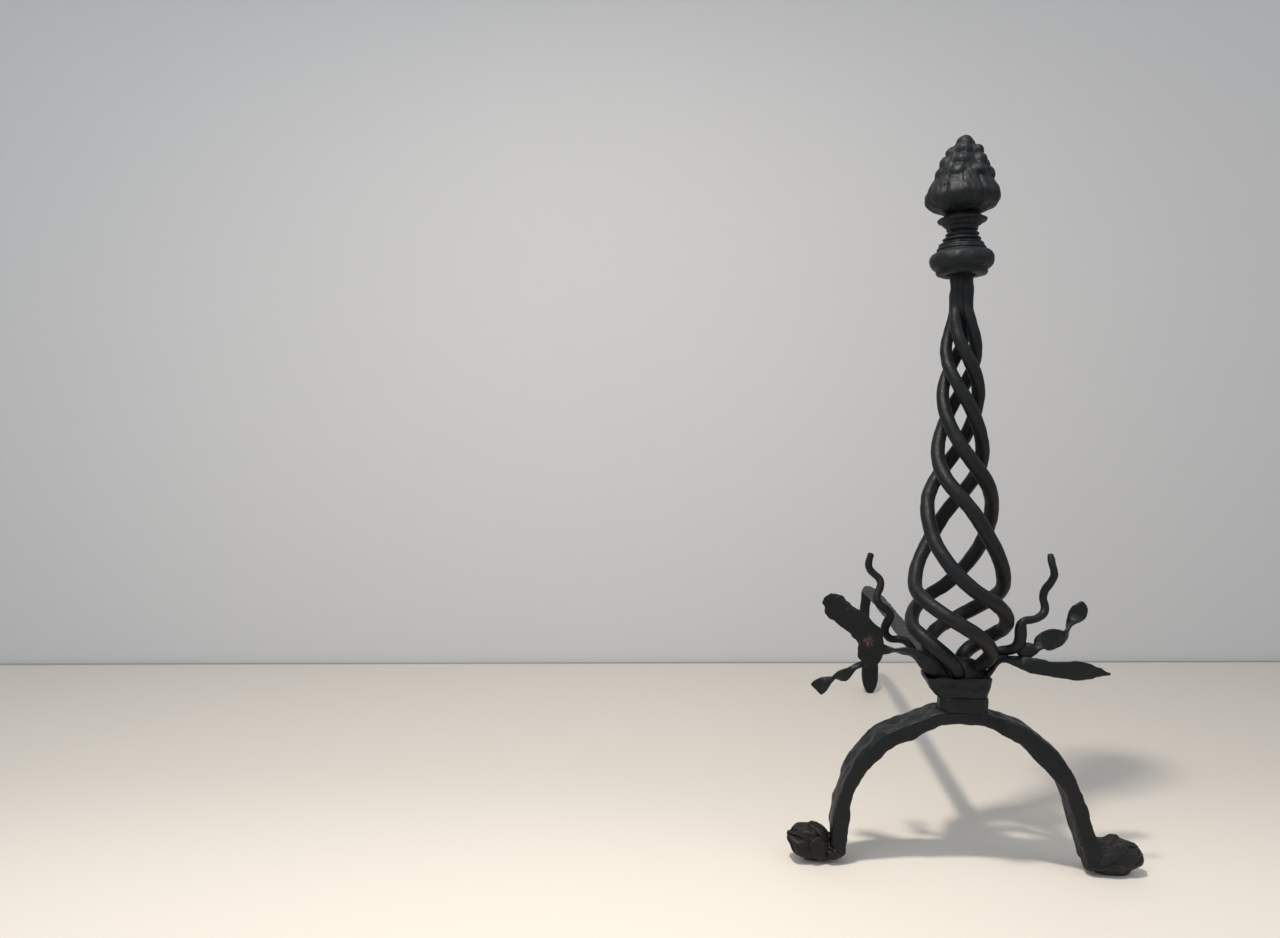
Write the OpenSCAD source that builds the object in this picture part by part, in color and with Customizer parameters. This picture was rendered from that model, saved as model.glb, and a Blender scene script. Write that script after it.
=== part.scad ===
// Wrought-iron andiron: an arched front on two rolled-leaf feet, a billet bar with a rear leg, a
// twisted cage of four round rods in a tapered collar, two sprays of leaves and a cast bud finial.
// Millimetres. X runs across the hearth, Y from the front arch back into the fire, Z is up.
// The floor is z = 0, and the origin is the middle of the whole andiron's box on the floor.

/* [Arch] */
// Height of the crown of the arch above the floor
arch_h = 134; // [125:1:150]
// Radius of the inside of the arch
arch_inner_r = 90; // [84:1:96]
// Thickness of the arch bar at the crown, seen from the front
arch_t = 11; // [9:0.5:14]
// Thickness of its legs
leg_t = 11.6; // [10:0.2:14.4]
// Width of the arch bar at the crown, front to back
arch_w = 30; // [26:1:36]
// Width of the arch bar at the floor
toe_w = 20; // [18:1:24]
// Height at which the legs start to narrow
narrow_from = 70; // [50:1:90]
// How far the left leg leans out from upright, in degrees
leg_splay_left = 3; // [2:1:6]
// How far the right leg leans out from upright, in degrees
leg_splay_right = 17; // [14:1:18]
// Gap between the end of a leg and the floor, taken up by the leaf
toe_lift = 6.5; // [5:0.5:8]
// Corner cut off the inside of each leg's end
end_cut = 3.5; // [1:0.5:5]
// Length of the tang that runs out of the leg into the foot
tang_len = 16; // [10:1:20]
// Width of the tang, front to back
tang_w = 14; // [10:1:16]
// Thickness of the tang
tang_t = 8; // [5:0.5:9]
// Corner cut along the edges of the arch bar
arch_edge = 1.5; // [0.5:0.5:3]

/* [Feet] */
// Length of a rolled-leaf foot, from the leg outwards
foot_len = 37; // [34:1:43]
// Height of a foot
foot_h = 31; // [28:1:36]
// Depth of a foot, front to back
foot_d = 29; // [27:1:36]

/* [Billet bar] */
// Distance from the axis of the cage to the middle of the rear leg
bar_len = 540; // [400:10:650]
// Width of the billet bar
bar_w = 15; // [12:1:20]
// Thickness of the billet bar and its rear leg
bar_t = 8.5; // [6:0.5:10]
// How much the bar rises from the pad to the rear bend
bar_rise = 9; // [0:1:20]
// Inside radius of the rear bend
bar_bend_r = 10; // [6:1:20]
// Width of the rear leg at its foot
rear_foot_w = 22; // [18:1:30]
// Thickness of the pad under the collar
pad_t = 12; // [10:0.5:14]
// Width of the pad under the collar
pad_w = 38; // [37:1:43]
// Depth of the pad, front to back
pad_d = 32; // [30:1:36]
// How far the pad's middle lies to the right of the bar's
pad_shift = 2.5; // [0:0.5:3]
// Length of the shoulder between the pad and the bar
shoulder_len = 24; // [10:1:40]

/* [Collar] */
// Height of the collar
collar_h = 16; // [12:1:24]
// Width of the collar's mouth
mouth_w = 50; // [47:0.5:54]
// How far the mouth's middle lies to the right of the bar's
mouth_shift = 0; // [-1:0.5:2]
// Depth of the collar's mouth
mouth_d = 35; // [34.5:0.5:38]
// Width of the collar at the pad
collar_w = 38; // [37:0.2:41]
// Depth of the collar at the pad
collar_d = 32; // [31:1:34]
// Wall of the collar
collar_wall = 2.2; // [1.5:0.1:2.4]

/* [Heel and tenon] */
// Thickness of the heel plate that the rods and stems are welded to
heel_t = 6; // [4:0.5:8]
// Radius of the tenon that runs down through the pad and the arch
tenon_r = 5; // [3.5:0.5:7]
// Radius of the riveted head, countersunk under the crown
rivet_r = 8; // [7.5:0.5:10]
// Depth of the countersink
rivet_t = 4; // [3:0.5:5]

/* [Cage] */
// Diameter of the rods at the belly of the cage
rod_d = 12; // [10:0.5:12.5]
// Diameter of the rods where they are drawn down at the heel
rod_foot_d = 10; // [8:0.5:10]
// Diameter of the rods at the neck
rod_neck_d = 8.6; // [8:0.2:10]
// Radius of the circle of the rods at the belly
belly_r = 37; // [32:1:42]
// Height of the twisted part of the cage
cage_h = 303; // [280:1:340]
// Twist of each rod from the collar to the neck, in degrees
cage_twist = 598; // [550:1:640]
// How much lower the rods lie at the back of the belly than at the front
back_droop = 7; // [0:1:10]
// How far below the collar's mouth the twist starts
twist_below = 3; // [2:0.5:5]
// Length of the straight neck above the cage
neck_h = 41; // [34:1:60]
// Gap between one rod and the next where they are bundled
bundle_gap = 0.2; // [0.1:0.1:0.6]

/* [Finial] */
// Thickness of the flange welded across the rods' tops
flange_t = 4; // [3:0.5:6]
// Radius of the stud
stud_r = 4; // [3:0.5:5]
// How far the stud reaches into the cone
stud_reach = 30; // [15:1:40]
// Depth of the socket over the rods' tops
socket_depth = 18; // [12:1:24]
// Height of the finial's base
base_h = 49; // [44:1:58]
// Radius of the base's lowest bead
low_bead_r = 20.3; // [18:0.1:23]
// Radius of the base's big bead
big_bead_r = 25.5; // [23:0.1:30]
// Radius of the base's thin bead
thin_bead_r = 19.4; // [18:0.1:21]
// Radius of the waist of the base
waist_r = 10.8; // [9:0.1:13]
// Radius of the base's top ring
top_ring_r = 19.3; // [17:0.1:22]
// Radius of the seat between the base and the cone
seat_r = 13; // [12:0.5:14]
// Height of the cone
cone_h = 64; // [58:1:70]
// Radius of the cone at the rim of its bell
cone_r = 29.5; // [27:0.5:33]
// How far the tip of the cone leans to the right
tip_lean = 2.5; // [0:0.5:4]
// Radius of the knob at the tip
knob_r = 7.8; // [6:0.2:9]

/* [Leaf sprays] */
// How far the long leaf's tip stands out beyond the cage. The other sprays keep in step
spray_len = 72; // [68:1:80]
// Thickness of the leaves
leaf_t = 2.6; // [2:0.1:3]
// Width of the broad leaf
broad_leaf_w = 19.5; // [17:0.5:22]
// Width of the long leaf
long_leaf_w = 15.4; // [12:0.2:17]
// Width of the lobes of the right twisted leaf
lobe_w = 16.2; // [12:0.2:18]
// Thickness of the tendrils at their free ends
tendril_t = 5.5; // [4:0.1:6]

/* [Hidden] */
$fn = 64;

// Clearance round every tenon, tang, stud and socket
fit_gap = 0.3;
bar_black = [0.15, 0.15, 0.16];
rod_black = [0.18, 0.18, 0.19];
leaf_black = [0.22, 0.21, 0.2];
cast_black = [0.12, 0.12, 0.13];

// The cage's belly is the andiron's front, and the rear leg is its back
cage_edge = belly_r + rod_d / 2;

// Arch: centre of its curve, middle radius, and the top and underside at the crown
arch_mid_r = arch_inner_r + arch_t / 2;
arch_centre_z = arch_h - arch_t - arch_inner_r;
arch_outer_r = arch_inner_r + arch_t;
seat_half_w = pad_w / 2 + abs(pad_shift);
seat_z = arch_centre_z + sqrt(pow(arch_outer_r, 2) - pow(seat_half_w, 2));

// Legs: where one leaves the curve, as [x, z], where its middle stands at height z, and where its
// outer face stands at the height of the tang
tang_z = toe_lift + leg_t / 2;
function leg_top(splay) =
    [arch_mid_r * cos(splay), arch_centre_z + arch_mid_r * sin(splay)];
function leg_x(splay, z) = leg_top(splay)[0] + (leg_top(splay)[1] - z) * tan(splay);
function face_x(splay) = leg_x(splay, tang_z) + leg_t / 2 / cos(splay);

// Where the axis of the cage stands, so that the origin is the middle of the whole box
axis_x = (face_x(leg_splay_left) - face_x(leg_splay_right)) / 2;
axis_y = -(bar_len + bar_t / 2 - cage_edge) / 2;

// Collar and pad
pad_top_z = seat_z + pad_t;
mouth_z = pad_top_z + collar_h;
heel_top_z = pad_top_z + heel_t;

// Cage
twist_z = mouth_z - twist_below;
neck_z = twist_z + cage_h;
rods_top_z = neck_z + neck_h;
foot_circle_r = (rod_foot_d + bundle_gap) / sqrt(2);
neck_circle_r = (rod_neck_d + bundle_gap) / sqrt(2);
belly_share = 0.155;

// Finial
socket_r = neck_circle_r + rod_neck_d / 2 + fit_gap;
base_top_z = rods_top_z + flange_t - socket_depth + base_h;
base_z = base_top_z - base_h;

function unit(v) = v / norm(v);
function place(p) = [p[0], p[1], p[2]];

// The smooth curve through a row of stations, with n steps between one station and the next
function curve(a, b, c, d, t) =
    0.5 * (2 * b + (c - a) * t + (2 * a - 5 * b + 4 * c - d) * t * t
    + (3 * b - 3 * c + d - a) * t * t * t);
function smooth(row, n) = concat(
    [for (i = [0:len(row) - 2]) for (s = [0:n - 1])
        curve(row[max(i - 1, 0)], row[i], row[i + 1], row[min(i + 2, len(row) - 1)], s / n)],
    [row[len(row) - 1]]);

// A forged section, as wide as w and as thick as t, with its corners cut
function strap(w, t) =
    let (c = 0.29 * min(w, t), x = w / 2, y = t / 2)
    [[x, c - y], [x - c, -y], [c - x, -y], [-x, c - y],
        [-x, y - c], [c - x, y], [x - c, y], [x, y - c]];
// A round section with eight sides
function round_bar(d) = [for (k = [0:7]) [d / 2 * cos(-45 * k), d / 2 * sin(-45 * k)]];

// One ring round station i: the section lies square to the run, turned about it
function heading(run, i) =
    unit(place(run[min(i + 1, len(run) - 1)]) - place(run[max(i - 1, 0)]));
function ring(run, i, section, turn) =
    let (ahead = heading(run, i), rise = unit(cross(ahead, [0, 1, 0])), back = cross(rise, ahead),
        across = cos(turn) * rise + sin(turn) * back,
        through = cos(turn) * back - sin(turn) * rise)
    [for (p = section) place(run[i]) + p[0] * across + p[1] * through];

// A closed skin over a row of rings of eight points
module skin(rings) {
    m = len(rings[0]);
    last = (len(rings) - 1) * m;
    polyhedron(
        points = [for (r = rings) for (p = r) p],
        faces = concat(
            [for (i = [0:len(rings) - 2]) for (j = [0:m - 1])
                [i * m + j, (i + 1) * m + j, (i + 1) * m + (j + 1) % m]],
            [for (i = [0:len(rings) - 2]) for (j = [0:m - 1])
                [i * m + j, (i + 1) * m + (j + 1) % m, i * m + (j + 1) % m]],
            [for (j = [1:m - 2]) [0, j, j + 1]],
            [for (j = [1:m - 2]) [last, last + j + 1, last + j]]));
}

// A forged bar through stations of [x, y, z, width, thickness, turn]
// A stem that stands on the pad has its lower end cut level
module forged(row, n = 3, stands = false) {
    run = smooth(row, n);
    skin([for (i = [0:len(run) - 1])
        let (side = strap(run[i][3], run[i][4]), turn = run[i][5])
        stands && i == 0
        ? [for (p = side) place(run[0]) + p[0] * [-cos(turn), sin(turn), 0]
            + p[1] * [sin(turn), cos(turn), 0]]
        : ring(run, i, side, turn)]);
}

// Stations of a spray. The first stands on the heel plate, so far in from the plate's side, and
// the second is so far in from the side of the collar's mouth. The others are so far beyond the
// cage's edge and so high above the mouth. Those of a left spray are mirrored
plate_gap = 2 * fit_gap;
plate_w = collar_w / 2 - collar_wall - plate_gap;
lip_w = mouth_w / 2 - collar_wall;
spray_scale = spray_len / 72;
function on_plate(side, p) = [plate_w + side * pad_shift - p[0], p[1], heel_top_z, p[2], p[3], p[4]];
function at_mouth(side, p) = [lip_w + side * mouth_shift - p[0], p[1], mouth_z, p[2], p[3], p[4]];
function beyond(p) = [cage_edge + spray_scale * p[0], spray_scale * p[1],
    mouth_z + spray_scale * p[2], p[3], p[4], p[5]];

module at_axis() {
    translate([axis_x, axis_y, 0]) children();
}

// ---- Arch ----
// The bar's section, with its middle at x = r
module arch_section(r, thick, grow) {
    t = thick / 2 + grow;
    w = arch_w / 2 + grow;
    e = arch_edge;
    polygon([[r - t, e - w], [r - t + e, -w], [r + t - e, -w], [r + t, e - w],
        [r + t, w - e], [r + t - e, w], [r - t + e, w], [r - t, w - e]]);
}

// One leg and its tang, on the +X side. The leg runs a little way into the curve, so that the
// bar is one solid, and past its end, which is cut level afterwards
leg_lap = 3;
module arch_leg(splay, grow = 0) {
    top = leg_top(splay);
    translate([top[0], 0, top[1]])
        rotate([0, -splay, 0]) rotate([180, 0, 0]) translate([0, 0, -leg_lap])
        linear_extrude(height = top[1] / cos(splay) + leg_lap)
        arch_section(0, leg_t, grow);
}

module arch_tang(splay, grow = 0) {
    start = leg_x(splay, tang_z);
    translate([start, -tang_w / 2 - grow, tang_z - tang_t / 2 - grow])
        cube([face_x(splay) - start + tang_len + grow, tang_w + 2 * grow, tang_t + 2 * grow]);
}

// The corner that is cut off the inside of a leg's end
module end_corner(splay, grow = 0) {
    side = sqrt(2) * (end_cut - grow);
    translate([leg_x(splay, toe_lift) - leg_t / 2 / cos(splay) - grow, 0, toe_lift - grow])
        rotate([0, 45, 0]) cube([side, 2 * arch_w, side], center = true);
}

// Room between the front and back of the arch bar: the legs narrow towards the floor
module arch_side(grow = 0) {
    top = arch_h + arch_t;
    w = arch_w / 2 + grow;
    toe = toe_w / 2 + grow;
    low = toe_lift - grow;
    rotate([90, 0, 90]) translate([0, 0, -2 * arch_inner_r])
        linear_extrude(height = 4 * arch_inner_r)
        polygon([[-w, top], [-w, narrow_from], [-toe, low + 2], [2 - toe, low],
            [toe - 2, low], [toe, low + 2], [w, narrow_from], [w, top]]);
}

// Flats that the hammer left round the outside of the arch, as [angle from the right, depth]
arch_flats = [[24, 0.9], [36, 0.7], [52, 0.4], [70, 1], [113, 3.6], [137, 0.8], [150, 0.7],
    [163, 0.6]];

// Chords across the inside of the arch, where the bar was left thicker: the same two numbers
arch_chords = [[44, 4.3], [64, 2.4], [118, 4.3], [135, 2.2]];

// One chord: a length of bar that starts this deep inside the arch and ends within the bar
chord_t = 6;
module arch_chord(angle, depth) {
    near = arch_inner_r - depth;
    half = sqrt(pow(arch_inner_r, 2) - pow(near, 2)) + 1;
    translate([0, 0, arch_centre_z]) rotate([0, -angle, 0])
        translate([near + chord_t / 2, 0, -half]) linear_extrude(height = 2 * half)
        arch_section(0, chord_t, 0);
}

module arch_bar() {
    color(bar_black) at_axis() difference() {
        intersection() {
            union() {
                translate([0, 0, arch_centre_z]) rotate([90, 0, 0])
                    rotate([0, 0, leg_splay_right])
                    rotate_extrude(angle = 180 - leg_splay_left - leg_splay_right)
                    arch_section(arch_mid_r, arch_t, 0);
                for (chord = arch_chords)
                    arch_chord(chord[0], chord[1]);
                arch_leg(leg_splay_right);
                arch_tang(leg_splay_right);
                mirror([1, 0, 0]) arch_leg(leg_splay_left);
                mirror([1, 0, 0]) arch_tang(leg_splay_left);
            }
            arch_side();
        }
        end_corner(leg_splay_right);
        mirror([1, 0, 0]) end_corner(leg_splay_left);
        for (flat = arch_flats)
            translate([0, 0, arch_centre_z]) rotate([0, -flat[0], 0])
                translate([arch_outer_r - flat[1], -arch_w, -arch_inner_r / 2])
                cube([arch_t, 2 * arch_w, arch_inner_r]);
        // The flat seat hammered on the crown
        translate([-seat_half_w, -arch_w, seat_z])
            cube([2 * seat_half_w, 2 * arch_w, arch_t]);
        translate([0, 0, arch_h - 2 * arch_t])
            cylinder(r = tenon_r + fit_gap, h = 2 * arch_t);
        // The countersink for the riveted head
        translate([0, 0, rivet_z])
            cylinder(r1 = rivet_r + fit_gap, r2 = tenon_r + fit_gap, h = rivet_t);
        translate([0, 0, rivet_z - rivet_t])
            cylinder(r = rivet_r + fit_gap, h = rivet_t);
    }
}

// ---- Feet ----
// One ring of the rolled leaf: its folds run round it and turn along it
function leaf_ring(p, folds) = [for (k = [0:15])
    let (a = 22.5 * k, fold = 1 - 0.045 * (1 + cos(5 * a + folds)))
    [p[0], p[3] * cos(a) * fold, (p[1] + p[2]) / 2 + (p[2] - p[1]) / 2 * sin(a) * fold]];

// Stations of a leaf as shares of its size: [out from the leg, low, high, half depth]
left_leaf = [[-0.2, 0.13, 0.4, 0.55], [-0.16, 0.09, 0.5, 0.86], [-0.05, 0.05, 0.68, 0.95],
    [0.07, 0.01, 0.84, 1], [0.24, -0.04, 0.95, 1.04], [0.41, -0.04, 1.03, 1.03],
    [0.59, 0.01, 1, 0.94], [0.76, 0.15, 0.9, 0.76], [0.9, 0.38, 0.79, 0.5],
    [1.0, 0.6, 0.72, 0.16]];
right_leaf = [[-0.32, 0.12, 0.38, 0.55], [-0.26, 0.08, 0.52, 0.86], [-0.15, 0.05, 0.84, 0.97],
    [-0.03, 0.01, 0.97, 1.02], [0.12, -0.04, 0.98, 1.05], [0.33, -0.05, 1.06, 1.05],
    [0.55, -0.03, 1, 1], [0.74, 0.1, 0.87, 0.84], [0.9, 0.27, 0.7, 0.58],
    [1.0, 0.42, 0.57, 0.2]];

// A leaf rolled round the tang and the leg's end, on the +X side
module rolled_leaf(stations, splay, folds) {
    rings = smooth([for (s = stations) [face_x(splay) + s[0] * foot_len,
        s[1] * foot_h, s[2] * foot_h, s[3] * foot_d / 2]], 2);
    difference() {
        intersection() {
            skin([for (i = [0:len(rings) - 1]) leaf_ring(rings[i], folds + 14 * i)]);
            translate([0, -foot_d, 0]) cube([3 * arch_inner_r, 2 * foot_d, 2 * foot_h]);
        }
        difference() {
            intersection() {
                arch_leg(splay, fit_gap);
                arch_side(fit_gap);
            }
            end_corner(splay, fit_gap);
        }
        arch_tang(splay, fit_gap);
    }
}

module foot_left() {
    color(bar_black) at_axis() mirror([1, 0, 0]) rolled_leaf(left_leaf, leg_splay_left, 40);
}

module foot_right() {
    color(bar_black) at_axis() rolled_leaf(right_leaf, leg_splay_right, 130);
}

// ---- Billet bar ----
bend_outer_r = bar_bend_r + bar_t;
bend_y = bar_len - bar_t / 2 - bar_bend_r;
bar_slope = atan(bar_rise / (bend_y - pad_d / 2));
bend_z = pad_top_z + (bend_y - bend_outer_r * sin(bar_slope) - pad_d / 2) * tan(bar_slope)
    - bend_outer_r * cos(bar_slope);
rear_toe_r = rear_foot_w / 2;
bar_start_y = pad_d / 2 + shoulder_len / 2;

// Outline of everything under the bar's skin at radius r of the bend, as [y, z]
module under_skin(r, low) {
    back = (bend_y - bar_start_y) / cos(bar_slope) + bar_t;
    tangent = [bend_y - r * sin(bar_slope), bend_z + r * cos(bar_slope)];
    start = tangent - back * [cos(bar_slope), sin(bar_slope)];
    translate([bend_y, bend_z]) circle(r = r);
    polygon([start, tangent, [bend_y, bend_z], [bend_y + r, bend_z], [bend_y + r, low],
        [start[0], low]]);
}

// Outline of the bar, the bend and the rear leg, seen from the side as [y, z]
module bar_side() {
    difference() {
        under_skin(bend_outer_r, 0);
        under_skin(bar_bend_r, -bar_len);
        translate([-bar_len, -bar_len]) square([bar_len + bar_start_y, 2 * bar_len]);
    }
}

// Outline of the bar and the rear leg, seen from the front as [x, z]
module bar_front() {
    polygon([[-bar_w / 2, bend_z + 2 * bend_outer_r], [bar_w / 2, bend_z + 2 * bend_outer_r],
        [bar_w / 2, bend_z - bend_outer_r], [rear_toe_r, rear_toe_r],
        [-rear_toe_r, rear_toe_r], [-bar_w / 2, bend_z - bend_outer_r]]);
    intersection() {
        translate([0, rear_toe_r - fit_gap]) circle(r = rear_toe_r);
        translate([-rear_foot_w, 0]) square([2 * rear_foot_w, rear_foot_w]);
    }
}

// Outline of the pad, seen from above: it narrows back into the bar
module pad_outline() {
    left = pad_shift - pad_w / 2;
    right = pad_shift + pad_w / 2;
    front = -pad_d / 2;
    cut = pad_d * 0.16;
    polygon([[left, front + cut], [left + cut, front], [right - cut, front], [right, front + cut],
        [right, 0], [bar_w / 2, pad_d / 2 + shoulder_len],
        [-bar_w / 2, pad_d / 2 + shoulder_len], [left, 0]]);
}

module billet_bar() {
    color(bar_black) at_axis() difference() {
        union() {
            intersection() {
                rotate([90, 0, 90])
                    translate([0, 0, -rear_foot_w]) linear_extrude(height = 2 * rear_foot_w)
                    bar_side();
                rotate([90, 0, 0]) translate([0, 0, -2 * bar_len])
                    linear_extrude(height = 2 * bar_len) bar_front();
            }
            translate([0, 0, seat_z]) linear_extrude(height = pad_t) pad_outline();
        }
        translate([0, 0, seat_z - pad_t])
            cylinder(r = tenon_r + fit_gap, h = 3 * pad_t);
    }
}

// ---- Heel, tenon and rivet ----
rivet_z = arch_centre_z + sqrt(pow(arch_inner_r, 2) - pow(rivet_r, 2));

// Outline of the heel plate, seen from above: it fills the collar and has its corners cut
module heel_outline() {
    x = plate_w;
    y = collar_d / 2 - collar_wall - plate_gap;
    cut = 5;
    polygon([[-x, cut - y], [cut - x, -y], [x - cut, -y], [x, cut - y],
        [x, y - cut], [x - cut, y], [cut - x, y], [-x, y - cut]]);
}

module cage_heel() {
    color(bar_black) at_axis() {
        translate([pad_shift, 0, pad_top_z]) linear_extrude(height = heel_t) heel_outline();
        translate([0, 0, rivet_z])
            cylinder(r = tenon_r, h = pad_top_z + heel_t / 2 - rivet_z);
        translate([0, 0, rivet_z]) cylinder(r1 = rivet_r, r2 = tenon_r, h = rivet_t);
    }
}

// ---- Collar ----
// One ring round the collar: a rectangle with rounded corners
function collar_ring(x, w, d, z) = [for (k = [0:31])
    let (a = 11.25 * (k + 0.5), c = cos(a), n = sin(a), r = pow(pow(c, 6) + pow(n, 6), -1 / 6))
    [x + w / 2 * c * r, d / 2 * n * r, z]];

module collar() {
    wall2 = 2 * collar_wall;
    over = 1;
    // How much the inside grows over each millimetre of height
    grow_x = (mouth_w - collar_w) / collar_h;
    grow_y = (mouth_d - collar_d) / collar_h;
    drift = (mouth_shift - pad_shift) / collar_h;
    color(bar_black) at_axis() translate([0, 0, pad_top_z]) difference() {
        skin([collar_ring(pad_shift, collar_w, collar_d, 0),
            collar_ring(mouth_shift, mouth_w, mouth_d, collar_h)]);
        skin([collar_ring(pad_shift - over * drift, collar_w - wall2 - over * grow_x,
                collar_d - wall2 - over * grow_y, -over),
            collar_ring(mouth_shift + over * drift, mouth_w - wall2 + over * grow_x,
                mouth_d - wall2 + over * grow_y, collar_h + over)]);
    }
}

// ---- Cage ----
// Share of the cage's height, share of its twist, and how far out of the bundle the rods stand
cage_stations = [[0, 0, 0], [0.01, 0.008, 0.03], [0.026, 0.022, 0.16], [0.043, 0.033, 0.34],
    [0.059, 0.042, 0.5], [0.079, 0.058, 0.65], [0.109, 0.094, 0.79], [0.135, 0.125, 0.92],
    [0.155, 0.151, 1], [0.215, 0.23, 1], [0.267, 0.301, 0.95], [0.373, 0.38, 0.8],
    [0.479, 0.452, 0.64], [0.614, 0.602, 0.39], [0.762, 0.752, 0.265], [0.884, 0.904, 0.19],
    [0.95, 0.966, 0.1], [1, 1, 0]];

function circle_r(s) = let (end_r = s[0] < belly_share ? foot_circle_r : neck_circle_r)
    end_r + s[2] * (belly_r - end_r);
function rod_size(s) = let (end_d = s[0] < belly_share ? rod_foot_d : rod_neck_d)
    end_d + (rod_d - end_d) * min(1, 2.2 * s[2]);

// The line of rod k, as [x, y, z, diameter]. The twist falls from left to right at the front
function rod_line(k) =
    let (start = -90 * k, low = foot_circle_r, high = neck_circle_r,
        bottom = start, top = start - cage_twist)
    concat(
        [[low * cos(bottom), low * sin(bottom), heel_top_z, rod_foot_d]],
        [for (s = smooth(cage_stations, 4))
            let (a = start - s[1] * cage_twist, r = circle_r(s),
                droop = back_droop * s[2] * s[2] * (1 + sin(a)) / 2)
            [r * cos(a), r * sin(a), twist_z + s[0] * cage_h - droop, rod_size(s)]],
        [[high * cos(top), high * sin(top), rods_top_z, rod_neck_d]]);

module cage_rod(k) {
    run = rod_line(k);
    last = len(run) - 1;
    // The two ends are cut square to the axis, so they sit flat on the heel and the flange
    color(rod_black) at_axis()
        skin([for (i = [0:last]) (i == 0 || i == last)
            ? [for (p = round_bar(run[i][3])) place(run[i]) + [-p[0], p[1], 0]]
            : ring(run, i, round_bar(run[i][3]), 0)]);
}

// ---- Finial ----
module finial_stud() {
    color(cast_black) at_axis() {
        translate([0, 0, rods_top_z]) cylinder(r = socket_r - fit_gap, h = flange_t);
        translate([0, 0, rods_top_z + flange_t / 2])
            cylinder(r = stud_r, h = base_top_z + stud_reach - rods_top_z - flange_t / 2);
    }
}

module bead(r, z, size) {
    translate([r - size, z]) circle(r = size);
}

module finial_base() {
    low_bead = 2.7;
    big_bead = 7.4;
    thin_bead = 1.8;
    low_z = low_bead;
    big_z = low_z + low_bead + big_bead - 0.8;
    thin_z = big_z + big_bead + thin_bead + 0.6;
    waist_z = thin_z + 14.5;
    ring_z = base_h - 4.6;
    color(cast_black) at_axis() translate([0, 0, base_z]) difference() {
        rotate_extrude() {
            polygon([[0, 0], [low_bead_r - low_bead, 0], [big_bead_r - big_bead, low_z],
                [big_bead_r - big_bead, big_z + big_bead - 1], [thin_bead_r - thin_bead, thin_z],
                [thin_bead_r - 3, thin_z + 2.5], [thin_bead_r - 3, thin_z + 4],
                [thin_bead_r - 5, thin_z + 4.6], [thin_bead_r - 5.6, thin_z + 7.5],
                [waist_r, waist_z], [top_ring_r - 2, ring_z - 1.2],
                [top_ring_r - 2, ring_z + 1.2], [seat_r, base_h], [0, base_h]]);
            bead(low_bead_r, low_z, low_bead);
            bead(big_bead_r, big_z, big_bead);
            bead(thin_bead_r, thin_z, thin_bead);
            bead(top_ring_r, ring_z, 1.6);
        }
        translate([0, 0, -base_h]) cylinder(r = socket_r, h = base_h + socket_depth);
        translate([0, 0, socket_depth / 2]) cylinder(r = stud_r + fit_gap, h = base_h);
    }
}

// One tier of the cone's lobes
module tier(count, z, reach, size, start) {
    translate([tip_lean * z / cone_h, 0, z])
        for (k = [0:count - 1])
            rotate([0, 0, start + 360 * k / count]) translate([reach - size, 0, 0])
                sphere(r = size, $fn = 32);
}

module finial_cone() {
    // Outline of the bell and the core above it, as shares of the cone's radius and height
    bell = [[0.43, 0], [0.5, 0.019], [0.62, 0.045], [0.8, 0.078], [0.95, 0.125], [1, 0.19],
        [0.985, 0.25], [0.9, 0.336], [0.79, 0.414], [0.71, 0.49]];
    core = [[0.6, 0.62], [0.42, 0.75], [0.22, 0.88], [0, 0.93], [0, 0]];
    color(cast_black) at_axis() translate([0, 0, base_top_z]) difference() {
        union() {
            rotate_extrude()
                polygon([for (p = concat(smooth(bell, 3), core)) [cone_r * p[0], cone_h * p[1]]]);
            tier(6, 0.22 * cone_h, cone_r + 0.4, 8.6, 20);
            tier(7, 0.475 * cone_h, 0.82 * cone_r, 7.4, 38);
            tier(6, 0.62 * cone_h, 0.7 * cone_r, 7, 10);
            tier(5, 0.76 * cone_h, 0.52 * cone_r, 6.6, 36);
            translate([tip_lean, 0, cone_h - knob_r]) sphere(r = knob_r);
        }
        translate([0, 0, -stud_reach]) cylinder(r = stud_r + fit_gap, h = 2 * stud_reach + 1);
    }
}

// ---- Sprays ----
module stem_left() {
    color(leaf_black) at_axis() mirror([1, 0, 0]) forged(concat(
        [on_plate(-1, [4, -9.8, 5.4, 2.6, 0]), at_mouth(-1, [8.9, -9.9, 8.4, 2.6, 0])],
        [for (p = [[-22.7, -11, 5.6, 10, 3, 0], [-16.5, -12, 10.4, 13, 3.2, -10],
            [-10.5, -12.3, 16.5, 12.5, 3.2, -45], [-4, -12.3, 20, 12, 3.2, -55],
            [4, -12.3, 21.3, 11, 3.2, -58], [11, -12.3, 21.5, 9, 3, -72],
            [16, -12.3, 21.5, 7, 2.6, -20], [20.5, -12.3, 22, 9, 2.3, 0],
            [28, -12.3, 23.5, 8, 2.3, 0]]) beyond(p)]), stands = true);
}

module broad_leaf_left() {
    w = broad_leaf_w;
    color(leaf_black) at_axis() mirror([1, 0, 0]) forged([for (p = [
        [29.8, -15.2, 9, w * 0.42], [29.3, -15.4, 15.4, w * 0.87], [28.6, -15.6, 22, w * 0.97],
        [29.4, -15.8, 29.4, w], [34.3, -15.6, 37.4, w * 0.97], [42.2, -14.5, 43.6, w * 0.95],
        [49.2, -13, 48.4, w], [54, -11.7, 53, w * 0.88], [58.3, -10.5, 57.8, w * 0.8],
        [61.8, -9.6, 62, w * 0.66], [64, -9, 65, w * 0.4]])
        beyond([p[0], p[1], p[2], p[3], leaf_t, 0])]);
}

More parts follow.
